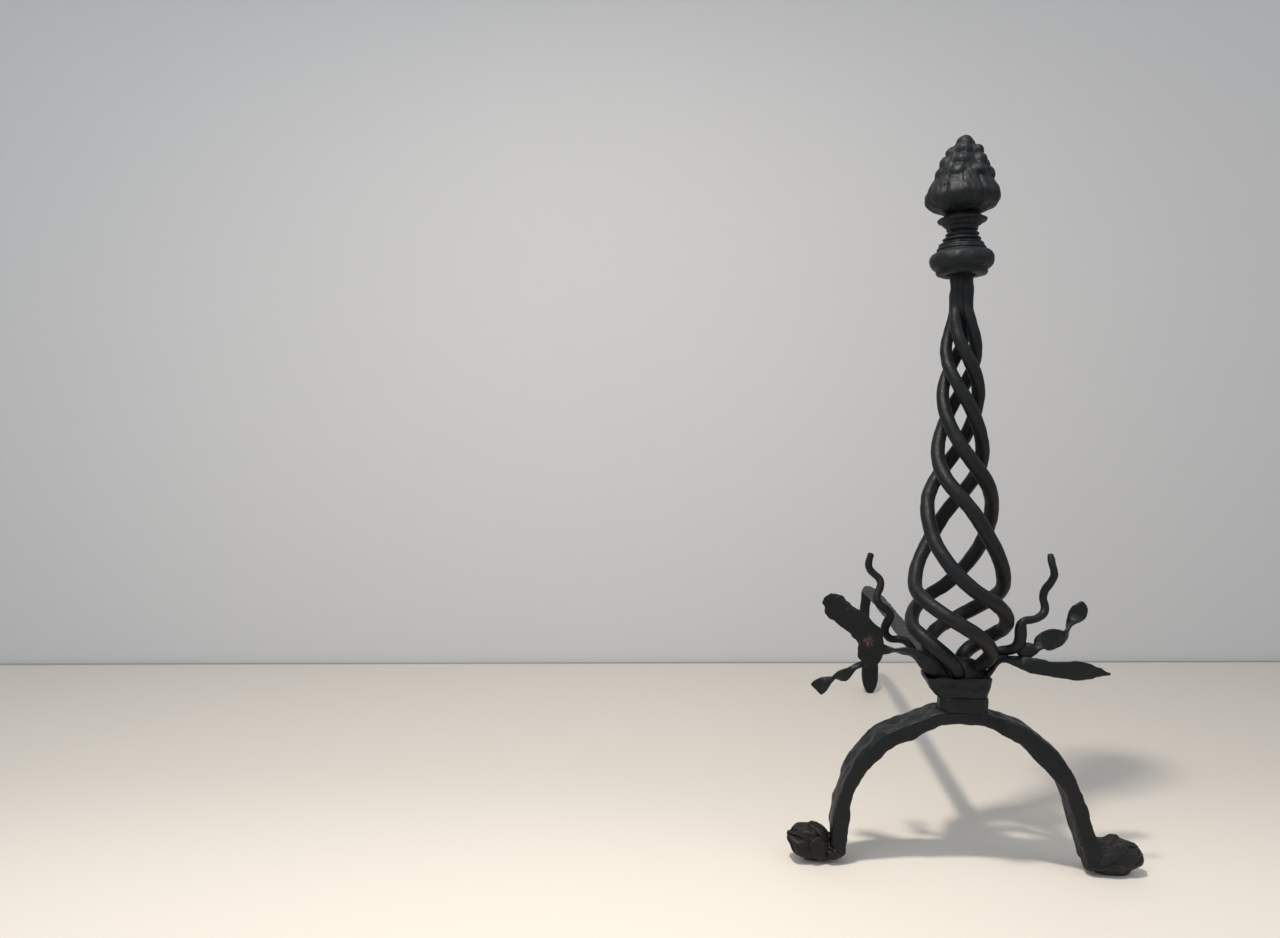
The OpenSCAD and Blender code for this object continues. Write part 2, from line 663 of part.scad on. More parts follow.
module twisted_leaf_left() {
    color(leaf_black) at_axis() mirror([1, 0, 0]) forged([for (p = [
        [28, -18.6, 13, 5, 0], [34, -18.8, 10.5, 5, 0], [38, -18.8, 9, 4.6, 20],
        [42, -18.5, 7, 5, 50], [46, -18, 4, 7, 30], [50, -17.2, 1.5, 9.5, 0],
        [54, -16.3, 0, 9.5, -20], [58, -15, -1.5, 8.5, -60], [60.5, -14, -3.5, 8, -90],
        [63, -13.2, -5, 8.5, -120], [67, -12, -7.7, 10.5, -160], [70.5, -11, -10.5, 12.4, -180],
        [73, -10.5, -13, 11.5, -180]])
        beyond([p[0], p[1], p[2], p[3], leaf_t * 0.9, p[4]])]);
}

module tendril_left() {
    t = tendril_t;
    color(leaf_black) at_axis() mirror([1, 0, 0]) forged(concat(
        [on_plate(-1, [2.4, 7.8, 5, 2.6, 90]), at_mouth(-1, [4.5, 3, 5.2, 3, 90])],
        [for (p = [[-18, -1.2, 6, t - 0.5, 3.6], [-13.6, -1.2, 11, t, 4.2],
            [-9.6, 0, 16, t + 0.4, 5], [-6, 2, 21, t + 0.6, 5.6], [-2, 3.5, 25.5, t + 0.5, 6],
            [4, 4, 27.3, t + 0.5, 6], [10, 4, 27, t + 0.4, 5.8], [14.8, 3.5, 31, t + 0.3, 5.8],
            [15.8, 2, 37, t + 0.3, 6], [13.8, 0, 43, t + 0.3, 6.6], [12, -2, 48, t + 0.3, 6.6],
            [14.5, -3, 52.5, t + 0.3, 6.5], [19.5, -4, 56, t + 0.2, 6.3],
            [23.2, -4, 60.5, t + 0.2, 6], [22.5, -2, 66, t, 5.8], [19.7, 0, 72, t, 5.7],
            [20.3, 2, 77.5, t, 5.6], [25, 3, 81.7, t - 0.2, 5.3], [29, 3, 86.5, t - 0.3, 5.2],
            [29.3, 2, 92, t - 0.4, 5], [27.5, 1, 99, t - 0.8, 4.4]])
            beyond([p[0], p[1], p[2], p[3], p[4], 90])]), n = 2, stands = true);
}

module packing_strip() {
    color(leaf_black) at_axis() mirror([1, 0, 0]) forged(concat(
        [on_plate(-1, [1.6, -6, 4, 1.4, 90]), at_mouth(-1, [9.1, -6, 4, 1.6, 90])],
        [for (p = [[-29.8, -6.2, 4.5, 3.4], [-25.8, -6.6, 9, 3.2], [-22, -7, 12.5, 2.6]])
            beyond([p[0], p[1], p[2], p[3], 1.6, 90])]), stands = true);
}

module long_leaf_right() {
    w = long_leaf_w;
    color(leaf_black) at_axis() forged(concat(
        [on_plate(1, [2, -5, 7, 2.6, 90]), at_mouth(1, [2, -5, 8, 2.6, 90])],
        [for (p = [[-17.6, -4.6, 6, 7.6, 3, 90], [-14, -5, 11.6, 7.8, 3.2, 90],
            [-11.6, -6.2, 14.6, 8.6, 3.4, 90], [-8, -8, 15.6, 9.5, 3.5, 85],
            [-3, -9, 15.5, 10, 3.5, 70], [1.5, -10.3, 14.8, 10.5, 3.3, 45],
            [6, -11.6, 13.6, 11, 3.1, 25]]) beyond(p)],
        [for (p = [[11, -12.6, 12.2, 11, 10], [21, -14, 10.2, w * 0.75, 0],
            [33, -15, 9.4, w * 0.82, 0], [41, -15, 9.2, w * 0.97, -5], [47, -14.7, 9, w, -8],
            [53, -13.8, 8.6, w * 0.9, -10], [59, -12.5, 7.6, w * 0.65, -10],
            [65, -11.2, 7, w * 0.36, -5], [69, -10.5, 6.4, w * 0.2, 0], [72, -10, 6, w * 0.1, 0]])
            beyond([p[0], p[1], p[2], p[3], leaf_t, p[4]])]), stands = true);
}

module twisted_leaf_right() {
    w = lobe_w;
    color(leaf_black) at_axis() forged([for (p = [
        [9.6, -6, 22, 10, 0], [13, -6, 23.4, 10, 0], [17.5, -5.6, 25.4, 8, 60],
        [21, -4.5, 28.5, w * 0.74, 25], [26, -2.5, 30, w * 0.95, 10], [32, 0.5, 31, w, 0],
        [38, 3, 31.3, w * 0.86, -10], [42.5, 5, 33, w * 0.62, -35], [45.3, 7, 37.5, w * 0.5, -70],
        [47.3, 8.5, 41.5, w * 0.5, -95], [49.5, 9.5, 44.5, w * 0.55, -125],
        [52.5, 10.5, 48, w * 0.74, -155], [55.3, 11.5, 51.5, w * 0.86, -175],
        [57.3, 12, 55.5, w * 0.68, -185], [58, 12, 60, w * 0.12, -185]])
        beyond([p[0], p[1], p[2], p[3], leaf_t, p[4]])]);
}

module tendril_right() {
    t = tendril_t;
    color(leaf_black) at_axis() forged(concat(
        [on_plate(1, [3.4, 5.5, 7, 2.6, 90]), at_mouth(1, [4.2, 5, 7.5, 3, 90])],
        [for (p = [[-23.2, 5, 6, 8, 3.8], [-20.5, 4, 11, 8, 4.6], [-16, 2.5, 17, 8, 6],
            [-10, 0, 20.2, 7.5, 7], [-4.5, -3, 21.5, 7.5, 7.5], [1.5, -6, 25, 8, 8.2],
            [4.3, -6, 31, 8, 9], [4.5, -6, 38, 7.5, 8.8], [4.8, -6, 43.3, 7, 7.6],
            [7.5, -5.5, 46.7, 6.5, 6], [13, -4.5, 47.3, t + 0.5, 5.6], [19, -2.5, 48.7, t + 0.5, 5.8],
            [24.3, 0, 52, t + 0.5, 6.2], [25.5, 2, 58, t + 0.5, 6.2], [24.3, 3, 64, t + 0.4, 6],
            [25.3, 1.5, 71, t, 5.8], [29, -1.5, 77.5, t, 5.7], [31, -4, 84, t - 0.3, 5.6],
            [30, -4, 90, t - 0.5, 5], [29, -2, 95.5, t - 0.3, 5.4], [28.8, 0, 100.5, t - 1.2, 4.2]])
            beyond([p[0], p[1], p[2], p[3], p[4], 90])]), n = 2, stands = true);
}

arch_bar();
foot_left();
foot_right();
billet_bar();
cage_heel();
collar();
cage_rod(1);  // cage_rod_1
cage_rod(2);  // cage_rod_2
cage_rod(3);  // cage_rod_3
cage_rod(4);  // cage_rod_4
finial_stud();
finial_base();
finial_cone();
stem_left();
broad_leaf_left();
twisted_leaf_left();
tendril_left();
packing_strip();
long_leaf_right();
twisted_leaf_right();
tendril_right();
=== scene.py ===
"""Looks of a wrought-iron andiron: an arch on two leaf-bud feet, a billet bar with a rear leg,
a twisted cage of four rods, two sprays of leaves and tendrils, and a cast finial.

Metres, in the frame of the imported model: X across, Y back, Z up.
"""
import math

import bpy
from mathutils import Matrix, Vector, noise


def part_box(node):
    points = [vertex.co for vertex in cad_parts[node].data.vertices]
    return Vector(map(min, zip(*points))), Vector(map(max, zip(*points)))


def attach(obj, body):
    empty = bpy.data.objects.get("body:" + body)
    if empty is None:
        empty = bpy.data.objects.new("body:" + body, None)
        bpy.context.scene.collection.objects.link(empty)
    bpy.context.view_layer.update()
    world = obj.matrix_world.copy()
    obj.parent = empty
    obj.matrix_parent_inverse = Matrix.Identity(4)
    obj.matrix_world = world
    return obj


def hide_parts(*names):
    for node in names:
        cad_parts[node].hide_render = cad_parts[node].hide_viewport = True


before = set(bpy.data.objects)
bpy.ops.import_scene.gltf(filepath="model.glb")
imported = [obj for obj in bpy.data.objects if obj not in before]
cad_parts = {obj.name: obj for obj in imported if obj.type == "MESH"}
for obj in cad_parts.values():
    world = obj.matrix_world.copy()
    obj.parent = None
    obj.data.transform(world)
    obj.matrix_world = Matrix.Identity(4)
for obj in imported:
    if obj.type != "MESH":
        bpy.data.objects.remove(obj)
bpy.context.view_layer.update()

# The upright axis of the cage and finial, and the places that the smith's marks are set out from
stud_low, stud_high = (Vector(corner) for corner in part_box("finial_stud"))
AXIS = (stud_low + stud_high) / 2
NECK_FOOT = stud_low.z - 0.040
BASE_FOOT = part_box("finial_base")[0][2]
CONE_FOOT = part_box("finial_base")[1][2]
CONE_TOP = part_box("finial_cone")[1][2]
BAR_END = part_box("billet_bar")[1][1]
MOUTH_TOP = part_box("collar")[1][2]

# The size of the small faces that a blank is remeshed into
FINE = 0.0006
PLATE = 0.0008
BAR = 0.0010
LONG_BAR = 0.0011

# A Mix node's sockets for colours: under, over, and out
UNDER, OVER, MIXED = 6, 7, 2


# ---------------------------------------------------------------- camera and studio
CAMERA_AT = (-0.1822, -1.0313, 0.3486)
CAMERA_PITCH, CAMERA_TURN = math.radians(88.512), math.radians(6.3)
LENS, FILM_WIDTH = 25.99, 36.0


def set_camera():
    """The photographer's place: a little left of the andiron, just above its middle."""
    data = bpy.data.cameras.new("photo_camera")
    data.sensor_width = FILM_WIDTH
    data.lens = LENS
    camera = bpy.data.objects.new("photo_camera", data)
    camera.location = CAMERA_AT
    camera.rotation_euler = (CAMERA_PITCH, 0.0, CAMERA_TURN)
    bpy.context.scene.collection.objects.link(camera)
    bpy.context.scene.camera = camera


def add_softbox(name, at, aim, size, power, tint):
    """A square studio light of this size, placed at one point and aimed at another."""
    data = bpy.data.lights.new(name, "AREA")
    data.shape = "RECTANGLE"
    data.size = data.size_y = size
    data.energy = power
    data.color = tint
    lamp = bpy.data.objects.new(name, data)
    lamp.location = at
    lamp.rotation_euler = (Vector(aim) - Vector(at)).to_track_quat("-Z", "Y").to_euler()
    bpy.context.scene.collection.objects.link(lamp)


def deselect():
    bpy.ops.object.select_all(action="DESELECT")


def pick(*pieces):
    """Selects these pieces and nothing else; the first is the active one."""
    deselect()
    for piece in pieces:
        piece.select_set(True)
    bpy.context.view_layer.objects.active = pieces[0]


# ---------------------------------------------------------------- shader node groups
class Group:
    """A shader node group in the making, with short words for adding and joining its nodes."""

    def __init__(self, name, inputs, outputs):
        self.tree = bpy.data.node_groups.new(name, "ShaderNodeTree")
        for label, value in inputs.items():
            socket = self.tree.interface.new_socket(label, in_out="INPUT",
                                                    socket_type="NodeSocketFloat")
            socket.default_value = value
        for label in outputs:
            self.tree.interface.new_socket(label, in_out="OUTPUT", socket_type="NodeSocketFloat")
        self.given = self.tree.nodes.new("NodeGroupInput").outputs
        self.result = self.tree.nodes.new("NodeGroupOutput").inputs

    def node(self, kind, **settings):
        return add_node(self.tree, kind, **settings)

    def join(self, source, target):
        self.tree.links.new(source, target)


def add_node(tree, kind, **settings):
    """Adds a shader node; plain words set its properties, and a dict `values` its sockets."""
    node = tree.nodes.new(kind)
    values = settings.pop("values", {})
    for label, value in settings.items():
        setattr(node, label, value)
    for label, value in values.items():
        node.inputs[label].default_value = value
    return node


def hammer_group():
    """Shallow round dents of a hand hammer, overlapping, with their places unevenly spaced."""
    g = Group("hammer_marks", {"Size": 70.0, "Depth": 1.0}, ["Height"])
    place = g.node("ShaderNodeTexCoord")
    wander = g.node("ShaderNodeTexNoise", values={"Scale": 40.0, "Detail": 2.0})
    shift = g.node("ShaderNodeVectorMath", operation="MULTIPLY_ADD")
    shift.inputs[1].default_value = (0.006, 0.006, 0.006)
    dents = g.node("ShaderNodeTexVoronoi", feature="SMOOTH_F1", values={"Smoothness": 0.35})
    g.join(place.outputs["Object"], wander.inputs["Vector"])
    g.join(wander.outputs["Color"], shift.inputs[0])
    g.join(place.outputs["Object"], shift.inputs[2])
    g.join(shift.outputs[0], dents.inputs["Vector"])
    g.join(g.given["Size"], dents.inputs["Scale"])
    deep = g.node("ShaderNodeMath", operation="MULTIPLY")
    g.join(dents.outputs["Distance"], deep.inputs[0])
    g.join(g.given["Depth"], deep.inputs[1])
    g.join(deep.outputs[0], g.result["Height"])
    return g.tree


def scale_group():
    """Fire scale: the fine broken skin of forged or cast iron, in patches and pits."""
    g = Group("fire_scale", {"Size": 420.0, "Pits": 0.5}, ["Tone", "Height", "Patches"])
    place = g.node("ShaderNodeTexCoord")
    grain = g.node("ShaderNodeTexNoise", values={"Detail": 6.0, "Roughness": 0.62})
    patches = g.node("ShaderNodeTexNoise", values={"Scale": 38.0, "Detail": 4.0, "Roughness": 0.6})
    pits = g.node("ShaderNodeTexVoronoi", feature="F1", values={"Scale": 260.0})
    for node in (grain, patches, pits):
        g.join(place.outputs["Object"], node.inputs["Vector"])
    g.join(g.given["Size"], grain.inputs["Scale"])
    hollow = g.node("ShaderNodeMapRange", values={"From Min": 0.0, "From Max": 0.34})
    g.join(pits.outputs["Distance"], hollow.inputs["Value"])
    sunk = g.node("ShaderNodeMath", operation="MULTIPLY")
    g.join(hollow.outputs["Result"], sunk.inputs[0])
    g.join(g.given["Pits"], sunk.inputs[1])
    height = g.node("ShaderNodeMath", operation="ADD")
    g.join(grain.outputs["Fac"], height.inputs[0])
    g.join(sunk.outputs[0], height.inputs[1])
    spread = g.node("ShaderNodeMapRange", values={"From Min": 0.40, "From Max": 0.66})
    g.join(patches.outputs["Fac"], spread.inputs["Value"])
    g.join(grain.outputs["Fac"], g.result["Tone"])
    g.join(height.outputs[0], g.result["Height"])
    g.join(spread.outputs["Result"], g.result["Patches"])
    return g.tree


def wear_group():
    """Where hands, logs and cloth have rubbed the black off: raised edges and crests."""
    g = Group("rubbed_edges", {"Low": 0.515, "High": 0.60, "Break Up": 90.0}, ["Worn"])
    shape = g.node("ShaderNodeNewGeometry")
    place = g.node("ShaderNodeTexCoord")
    raised = g.node("ShaderNodeMapRange")
    g.join(shape.outputs["Pointiness"], raised.inputs["Value"])
    g.join(g.given["Low"], raised.inputs["From Min"])
    g.join(g.given["High"], raised.inputs["From Max"])
    broken = g.node("ShaderNodeTexNoise", values={"Detail": 5.0, "Roughness": 0.65})
    g.join(place.outputs["Object"], broken.inputs["Vector"])
    g.join(g.given["Break Up"], broken.inputs["Scale"])
    keep = g.node("ShaderNodeMapRange", values={"From Min": 0.38, "From Max": 0.62})
    g.join(broken.outputs["Fac"], keep.inputs["Value"])
    worn = g.node("ShaderNodeMath", operation="MULTIPLY", use_clamp=True)
    g.join(raised.outputs["Result"], worn.inputs[0])
    g.join(keep.outputs["Result"], worn.inputs[1])
    g.join(worn.outputs[0], g.result["Worn"])
    return g.tree


def rust_group():
    """Brown-red rust in small loose blooms, with a crust; Start and End set how much of it."""
    g = Group("rust_blooms", {"Size": 26.0, "Start": 0.60, "End": 0.74}, ["Rust", "Height"])
    place = g.node("ShaderNodeTexCoord")
    bloom = g.node("ShaderNodeTexNoise", values={"Detail": 6.0, "Roughness": 0.68,
                                                 "Distortion": 0.3})
    crust = g.node("ShaderNodeTexNoise", values={"Scale": 700.0, "Detail": 3.0})
    g.join(place.outputs["Object"], bloom.inputs["Vector"])
    g.join(place.outputs["Object"], crust.inputs["Vector"])
    g.join(g.given["Size"], bloom.inputs["Scale"])
    rust = g.node("ShaderNodeMapRange")
    g.join(bloom.outputs["Fac"], rust.inputs["Value"])
    g.join(g.given["Start"], rust.inputs["From Min"])
    g.join(g.given["End"], rust.inputs["From Max"])
    rough = g.node("ShaderNodeMath", operation="MULTIPLY")
    g.join(rust.outputs["Result"], rough.inputs[0])
    g.join(crust.outputs["Fac"], rough.inputs[1])
    g.join(rust.outputs["Result"], g.result["Rust"])
    g.join(rough.outputs[0], g.result["Height"])
    return g.tree


def spot_group():
    """A speckled spot at one place on the object, dense in its middle and loose at its edge."""
    g = Group("speckled_spot", {"X": 0.0, "Y": 0.0, "Z": 0.0, "Reach": 0.01}, ["Mask"])
    place = g.node("ShaderNodeTexCoord")
    centre = g.node("ShaderNodeCombineXYZ")
    for label in "XYZ":
        g.join(g.given[label], centre.inputs[label])
    far = g.node("ShaderNodeVectorMath", operation="DISTANCE")
    g.join(place.outputs["Object"], far.inputs[0])
    g.join(centre.outputs[0], far.inputs[1])
    near = g.node("ShaderNodeMapRange", values={"From Min": 0.0, "To Min": 1.0, "To Max": 0.0})
    g.join(far.outputs["Value"], near.inputs["Value"])
    g.join(g.given["Reach"], near.inputs["From Max"])
    speckle = g.node("ShaderNodeTexNoise", values={"Scale": 620.0, "Detail": 1.0})
    g.join(place.outputs["Object"], speckle.inputs["Vector"])
    both = g.node("ShaderNodeMath", operation="MULTIPLY_ADD")
    both.inputs[1].default_value = 0.45
    g.join(near.outputs["Result"], both.inputs[0])
    g.join(speckle.outputs["Fac"], both.inputs[2])
    mask = g.node("ShaderNodeMapRange", values={"From Min": 0.74, "From Max": 1.04})
    g.join(both.outputs[0], mask.inputs["Value"])
    inside = g.node("ShaderNodeMath", operation="GREATER_THAN")
    inside.inputs[1].default_value = 0.02
    g.join(near.outputs["Result"], inside.inputs[0])
    kept = g.node("ShaderNodeMath", operation="MULTIPLY", use_clamp=True)
    g.join(mask.outputs["Result"], kept.inputs[0])
    g.join(inside.outputs[0], kept.inputs[1])
    g.join(kept.outputs[0], g.result["Mask"])
    return g.tree


def ash_group():
    """Ash and dust that settle on faces that look up, thin and patchy."""
    g = Group("settled_ash", {"Amount": 0.4}, ["Ash"])
    shape = g.node("ShaderNodeNewGeometry")
    place = g.node("ShaderNodeTexCoord")
    facing = g.node("ShaderNodeSeparateXYZ")
    g.join(shape.outputs["Normal"], facing.inputs[0])
    upward = g.node("ShaderNodeMapRange", values={"From Min": 0.35, "From Max": 1.0})
    g.join(facing.outputs["Z"], upward.inputs["Value"])
    drift = g.node("ShaderNodeTexNoise", values={"Scale": 65.0, "Detail": 5.0, "Roughness": 0.7})
    g.join(place.outputs["Object"], drift.inputs["Vector"])
    thin = g.node("ShaderNodeMapRange", values={"From Min": 0.36, "From Max": 0.70})
    g.join(drift.outputs["Fac"], thin.inputs["Value"])
    both = g.node("ShaderNodeMath", operation="MULTIPLY")
    g.join(upward.outputs["Result"], both.inputs[0])
    g.join(thin.outputs["Result"], both.inputs[1])
    ash = g.node("ShaderNodeMath", operation="MULTIPLY", use_clamp=True)
    g.join(both.outputs[0], ash.inputs[0])
    g.join(g.given["Amount"], ash.inputs[1])
    g.join(ash.outputs[0], g.result["Ash"])
    return g.tree


# ---------------------------------------------------------------- materials
BLACK = (0.0036, 0.0056, 0.0074, 1.0)        # waxed black iron, a little blue
BLACK_BROWN = (0.0085, 0.0075, 0.0066, 1.0)  # the same where it has gone brown
BRIGHT = (0.085, 0.077, 0.066, 1.0)          # rubbed bare
CAST = (0.0066, 0.0090, 0.0118, 1.0)         # the cast finial, a shade lighter and bluer
LEAF_BLACK = (0.0020, 0.0026, 0.0030, 1.0)   # the broad leaf, the darkest of all
STRIP_HIGHLIGHT_GREY = (0.0420, 0.0420, 0.0420, 1.0)       # the strip in the collar, pale grey all over: painted highlight
BUD_GREY = (0.0130, 0.0128, 0.0130, 1.0)     # the right foot, a shade greyer
BUD_BROWN = (0.0115, 0.0082, 0.0062, 1.0)    # the left foot, brown all over
RUST = (0.110, 0.062, 0.052, 1.0)
ASH = (0.045, 0.045, 0.045, 1.0)
THIN_ASH = 0.22
RUSTY_ROUGHNESS = 0.85
BARE_METAL = 0.8


def iron(name, hammer, grain, pits, rough, worn, rust, brown, black=BLACK, spot=None):
    """Black iron. Hammer is the marks' scale and depth; grain the scale of the fire scale; worn
    and rust say where each starts and is full; brown is the share that has gone brown; a spot
    is the place and reach of one more patch of rust."""
    material = bpy.data.materials.new(name)
    material.use_nodes = True
    tree = material.node_tree
    tree.nodes.clear()
    link = tree.links.new

    def grouped(shared, **values):
        """One use of a shared node group, with these values on its sockets."""
        node = tree.nodes.new("ShaderNodeGroup")
        node.node_tree = shared
        for label, value in values.items():
            node.inputs[label.replace("_", " ")].default_value = value
        return node

    def mixed(share, under, over):
        """A colour between two others; each is a colour or the socket that gives one."""
        node = tree.nodes.new("ShaderNodeMix")
        node.data_type = "RGBA"
        link(share, node.inputs[0])
        for socket, colour in ((node.inputs[UNDER], under), (node.inputs[OVER], over)):
            if isinstance(colour, tuple):
                socket.default_value = colour
            else:
                link(colour, socket)
        return node.outputs[MIXED]

    def blended(share, under, over):
        """The same for two plain values."""
        node = tree.nodes.new("ShaderNodeMix")
        link(share, node.inputs[0])
        for socket, value in ((node.inputs[2], under), (node.inputs[3], over)):
            if isinstance(value, float):
                socket.default_value = value
            else:
                link(value, socket)
        return node.outputs[0]

    def raised(height, strength, distance, under=None):
        """A bump on top of the one under it."""
        node = add_node(tree, "ShaderNodeBump", values={"Strength": strength,
                                                        "Distance": distance})
        link(height, node.inputs["Height"])
        if under:
            link(under, node.inputs["Normal"])
        return node.outputs["Normal"]

    marks = grouped(hammer_marks, Size=hammer[0], Depth=hammer[1])
    skin = grouped(fire_scale, Size=grain, Pits=pits)
    rubbed = grouped(rubbed_edges, Low=worn[0], High=worn[1])
    blooms = grouped(rust_blooms, Start=rust[0], End=rust[1])
    ash = grouped(settled_ash, Amount=THIN_ASH)

    share = add_node(tree, "ShaderNodeMath", operation="MULTIPLY")
    link(skin.outputs["Patches"], share.inputs[0])
    share.inputs[1].default_value = brown
    colour = mixed(share.outputs[0], black, BLACK_BROWN)
    colour = mixed(ash.outputs["Ash"], colour, ASH)
    colour = mixed(rubbed.outputs["Worn"], colour, BRIGHT)
    rusty = blooms.outputs["Rust"]
    if spot:
        mark = grouped(speckled_spot, X=spot[0], Y=spot[1], Z=spot[2], Reach=spot[3])
        most = add_node(tree, "ShaderNodeMath", operation="MAXIMUM")
        link(rusty, most.inputs[0])
        link(mark.outputs["Mask"], most.inputs[1])
        rusty = most.outputs[0]
    colour = mixed(rusty, colour, RUST)

    gloss = add_node(tree, "ShaderNodeMapRange",
                     values={"From Min": 0.3, "From Max": 0.7,
                             "To Min": rough - 0.10, "To Max": rough + 0.12})
    link(skin.outputs["Tone"], gloss.inputs["Value"])
    roughness = blended(rubbed.outputs["Worn"], gloss.outputs["Result"], rough - 0.14)
    roughness = blended(rusty, roughness, RUSTY_ROUGHNESS)
    metal = add_node(tree, "ShaderNodeMath", operation="MULTIPLY")
    link(rubbed.outputs["Worn"], metal.inputs[0])
    metal.inputs[1].default_value = BARE_METAL

    surface = raised(marks.outputs["Height"], 0.5, 0.0010)
    surface = raised(skin.outputs["Height"], 0.75, 0.00035, surface)
    surface = raised(blooms.outputs["Height"], 0.5, 0.0004, surface)

    shader = add_node(tree, "ShaderNodeBsdfPrincipled", values={"Specular IOR Level": 0.24})
    link(colour, shader.inputs["Base Color"])
    link(roughness, shader.inputs["Roughness"])
    link(metal.outputs[0], shader.inputs["Metallic"])
    link(surface, shader.inputs["Normal"])
    output = tree.nodes.new("ShaderNodeOutputMaterial")
    link(shader.outputs[0], output.inputs["Surface"])
    return material


def dimmed(colour, share):
    """The colour at this share of its brightness, as a socket takes it."""
    return (*[channel * share for channel in colour], 1.0)


def stage_material(name, colour, shade_line=None, see_through_back=False):
    """The plain finish of the table and the wall, with a very faint unevenness. A shade line,
    given as its place along Y, is a thin dark line painted on the table just in front of the wall:
    painted shade where
    the table's back edge meets the wall. A table with one is also a little greyer from its middle
    on:
    painted shade for the lamp's light falling off towards the back. A finish with a see-through
    back doesn't hide the andiron from a camera behind it."""
    material = bpy.data.materials.new(name)
    material.use_nodes = True
    tree = material.node_tree
    shader = tree.nodes["Principled BSDF"]
    shader.inputs["Roughness"].default_value = 0.6
    shader.inputs["Specular IOR Level"].default_value = 0.25
    place = tree.nodes.new("ShaderNodeTexCoord")
    cloud = add_node(tree, "ShaderNodeTexNoise", values={"Scale": 1.4, "Detail": 2.0})
    tone = tree.nodes.new("ShaderNodeMix")
    tone.data_type = "RGBA"
    tone.inputs[UNDER].default_value = dimmed(colour, 0.965)
    tone.inputs[OVER].default_value = dimmed(colour, 1.0)
    tree.links.new(place.outputs["Object"], cloud.inputs["Vector"])
    tree.links.new(cloud.outputs["Fac"], tone.inputs[0])
    finish = tone.outputs[MIXED]
    # Painted shade: greyer from the middle back, where the lamp's light falls off, and a thin dark
    # line where the table meets the wall.
    if shade_line:
        along = tree.nodes.new("ShaderNodeSeparateXYZ")
        back = add_node(tree, "ShaderNodeMapRange", interpolation_type="SMOOTHSTEP",
                        values={"From Min": -0.08, "From Max": 0.26})
        light_falloff = tree.nodes.new("ShaderNodeMix")
        light_falloff.data_type = "RGBA"
        light_falloff.inputs[OVER].default_value = dimmed(colour, 0.85)
        tree.links.new(along.outputs["Y"], back.inputs["Value"])
        tree.links.new(back.outputs["Result"], light_falloff.inputs[0])
        tree.links.new(finish, light_falloff.inputs[UNDER])
        finish = light_falloff.outputs[MIXED]
        dark = add_node(tree, "ShaderNodeMapRange",
                        values={"From Min": shade_line - 0.012, "From Max": shade_line - 0.004})
        edge = tree.nodes.new("ShaderNodeMix")
        edge.data_type = "RGBA"
        edge.inputs[OVER].default_value = dimmed(colour, 0.35)
        tree.links.new(place.outputs["Object"], along.inputs[0])
        tree.links.new(along.outputs["Y"], dark.inputs["Value"])
        tree.links.new(dark.outputs["Result"], edge.inputs[0])
        tree.links.new(finish, edge.inputs[UNDER])
        finish = edge.outputs[MIXED]
    tree.links.new(finish, shader.inputs["Base Color"])
    if see_through_back:
        shape = tree.nodes.new("ShaderNodeNewGeometry")
        clear = tree.nodes.new("ShaderNodeBsdfTransparent")
        choice = tree.nodes.new("ShaderNodeMixShader")
        tree.links.new(shape.outputs["Backfacing"], choice.inputs[0])
        tree.links.new(shader.outputs[0], choice.inputs[1])
        tree.links.new(clear.outputs[0], choice.inputs[2])
        tree.links.new(choice.outputs[0], tree.nodes["Material Output"].inputs["Surface"])
    return material


# ---------------------------------------------------------------- shaping
def smith_texture(name, kind, size, **settings):
    """A solid noise that a Displace modifier reads in the object's own space."""
    texture = bpy.data.textures.new(name, kind)
    texture.noise_scale = size
    for label, value in settings.items():
        setattr(texture, label, value)
    return texture


def copy_node(node, name):
    """A merged copy of a CAD node's mesh, as the blank that a piece is forged from."""
    piece = bpy.data.objects.new(name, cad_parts[node].data.copy())
    bpy.context.scene.collection.objects.link(piece)
    piece.data.materials.clear()
    pick(piece)
    bpy.ops.object.mode_set(mode="EDIT")
    bpy.ops.mesh.select_all(action="SELECT")
    bpy.ops.mesh.customdata_custom_splitnormals_clear()
    bpy.ops.mesh.remove_doubles(threshold=0.00001)
    bpy.ops.mesh.tris_convert_to_quads(face_threshold=math.radians(50),
                                       shape_threshold=math.radians(60))
    bpy.ops.object.mode_set(mode="OBJECT")
    return piece


def apply_modifier(piece, kind, **settings):
    """Adds a modifier with these settings and applies it."""
    pick(piece)
    modifier = piece.modifiers.new(kind.lower(), kind)
    for label, value in settings.items():
        setattr(modifier, label, value)
    bpy.ops.object.modifier_apply(modifier=modifier.name)


def round_off(piece, levels):
    """Smooths a drawn-out piece, such as a rod or leaf, whose sections are already close."""
    apply_modifier(piece, "SUBSURF", levels=levels, render_levels=levels)


def refine(piece, voxel, rounds):
    """Turns a blank into even small faces and rounds its edges off, as a hammer does."""
    apply_modifier(piece, "REMESH", mode="VOXEL", voxel_size=voxel)
    apply_modifier(piece, "SMOOTH", factor=0.5, iterations=rounds)


def strike(piece, texture, depth):
    """Beats a texture's marks into a piece, as much outwards as inwards."""
    apply_modifier(piece, "DISPLACE", texture=texture, texture_coords="LOCAL",
                   strength=depth, mid_level=0.5)


def grow(piece, by):
    """Thickens a piece all over, to make up for what smoothing took off."""
    apply_modifier(piece, "DISPLACE", strength=by, mid_level=0.0)


def carve(piece, relief):
    """Moves every point of a piece along its normal by relief(place), in metres."""
    points = piece.data.vertices
    normals = [Vector(point.normal) for point in points]
    for point, normal in zip(points, normals):
        point.co += normal * relief(point.co)
    piece.data.update()


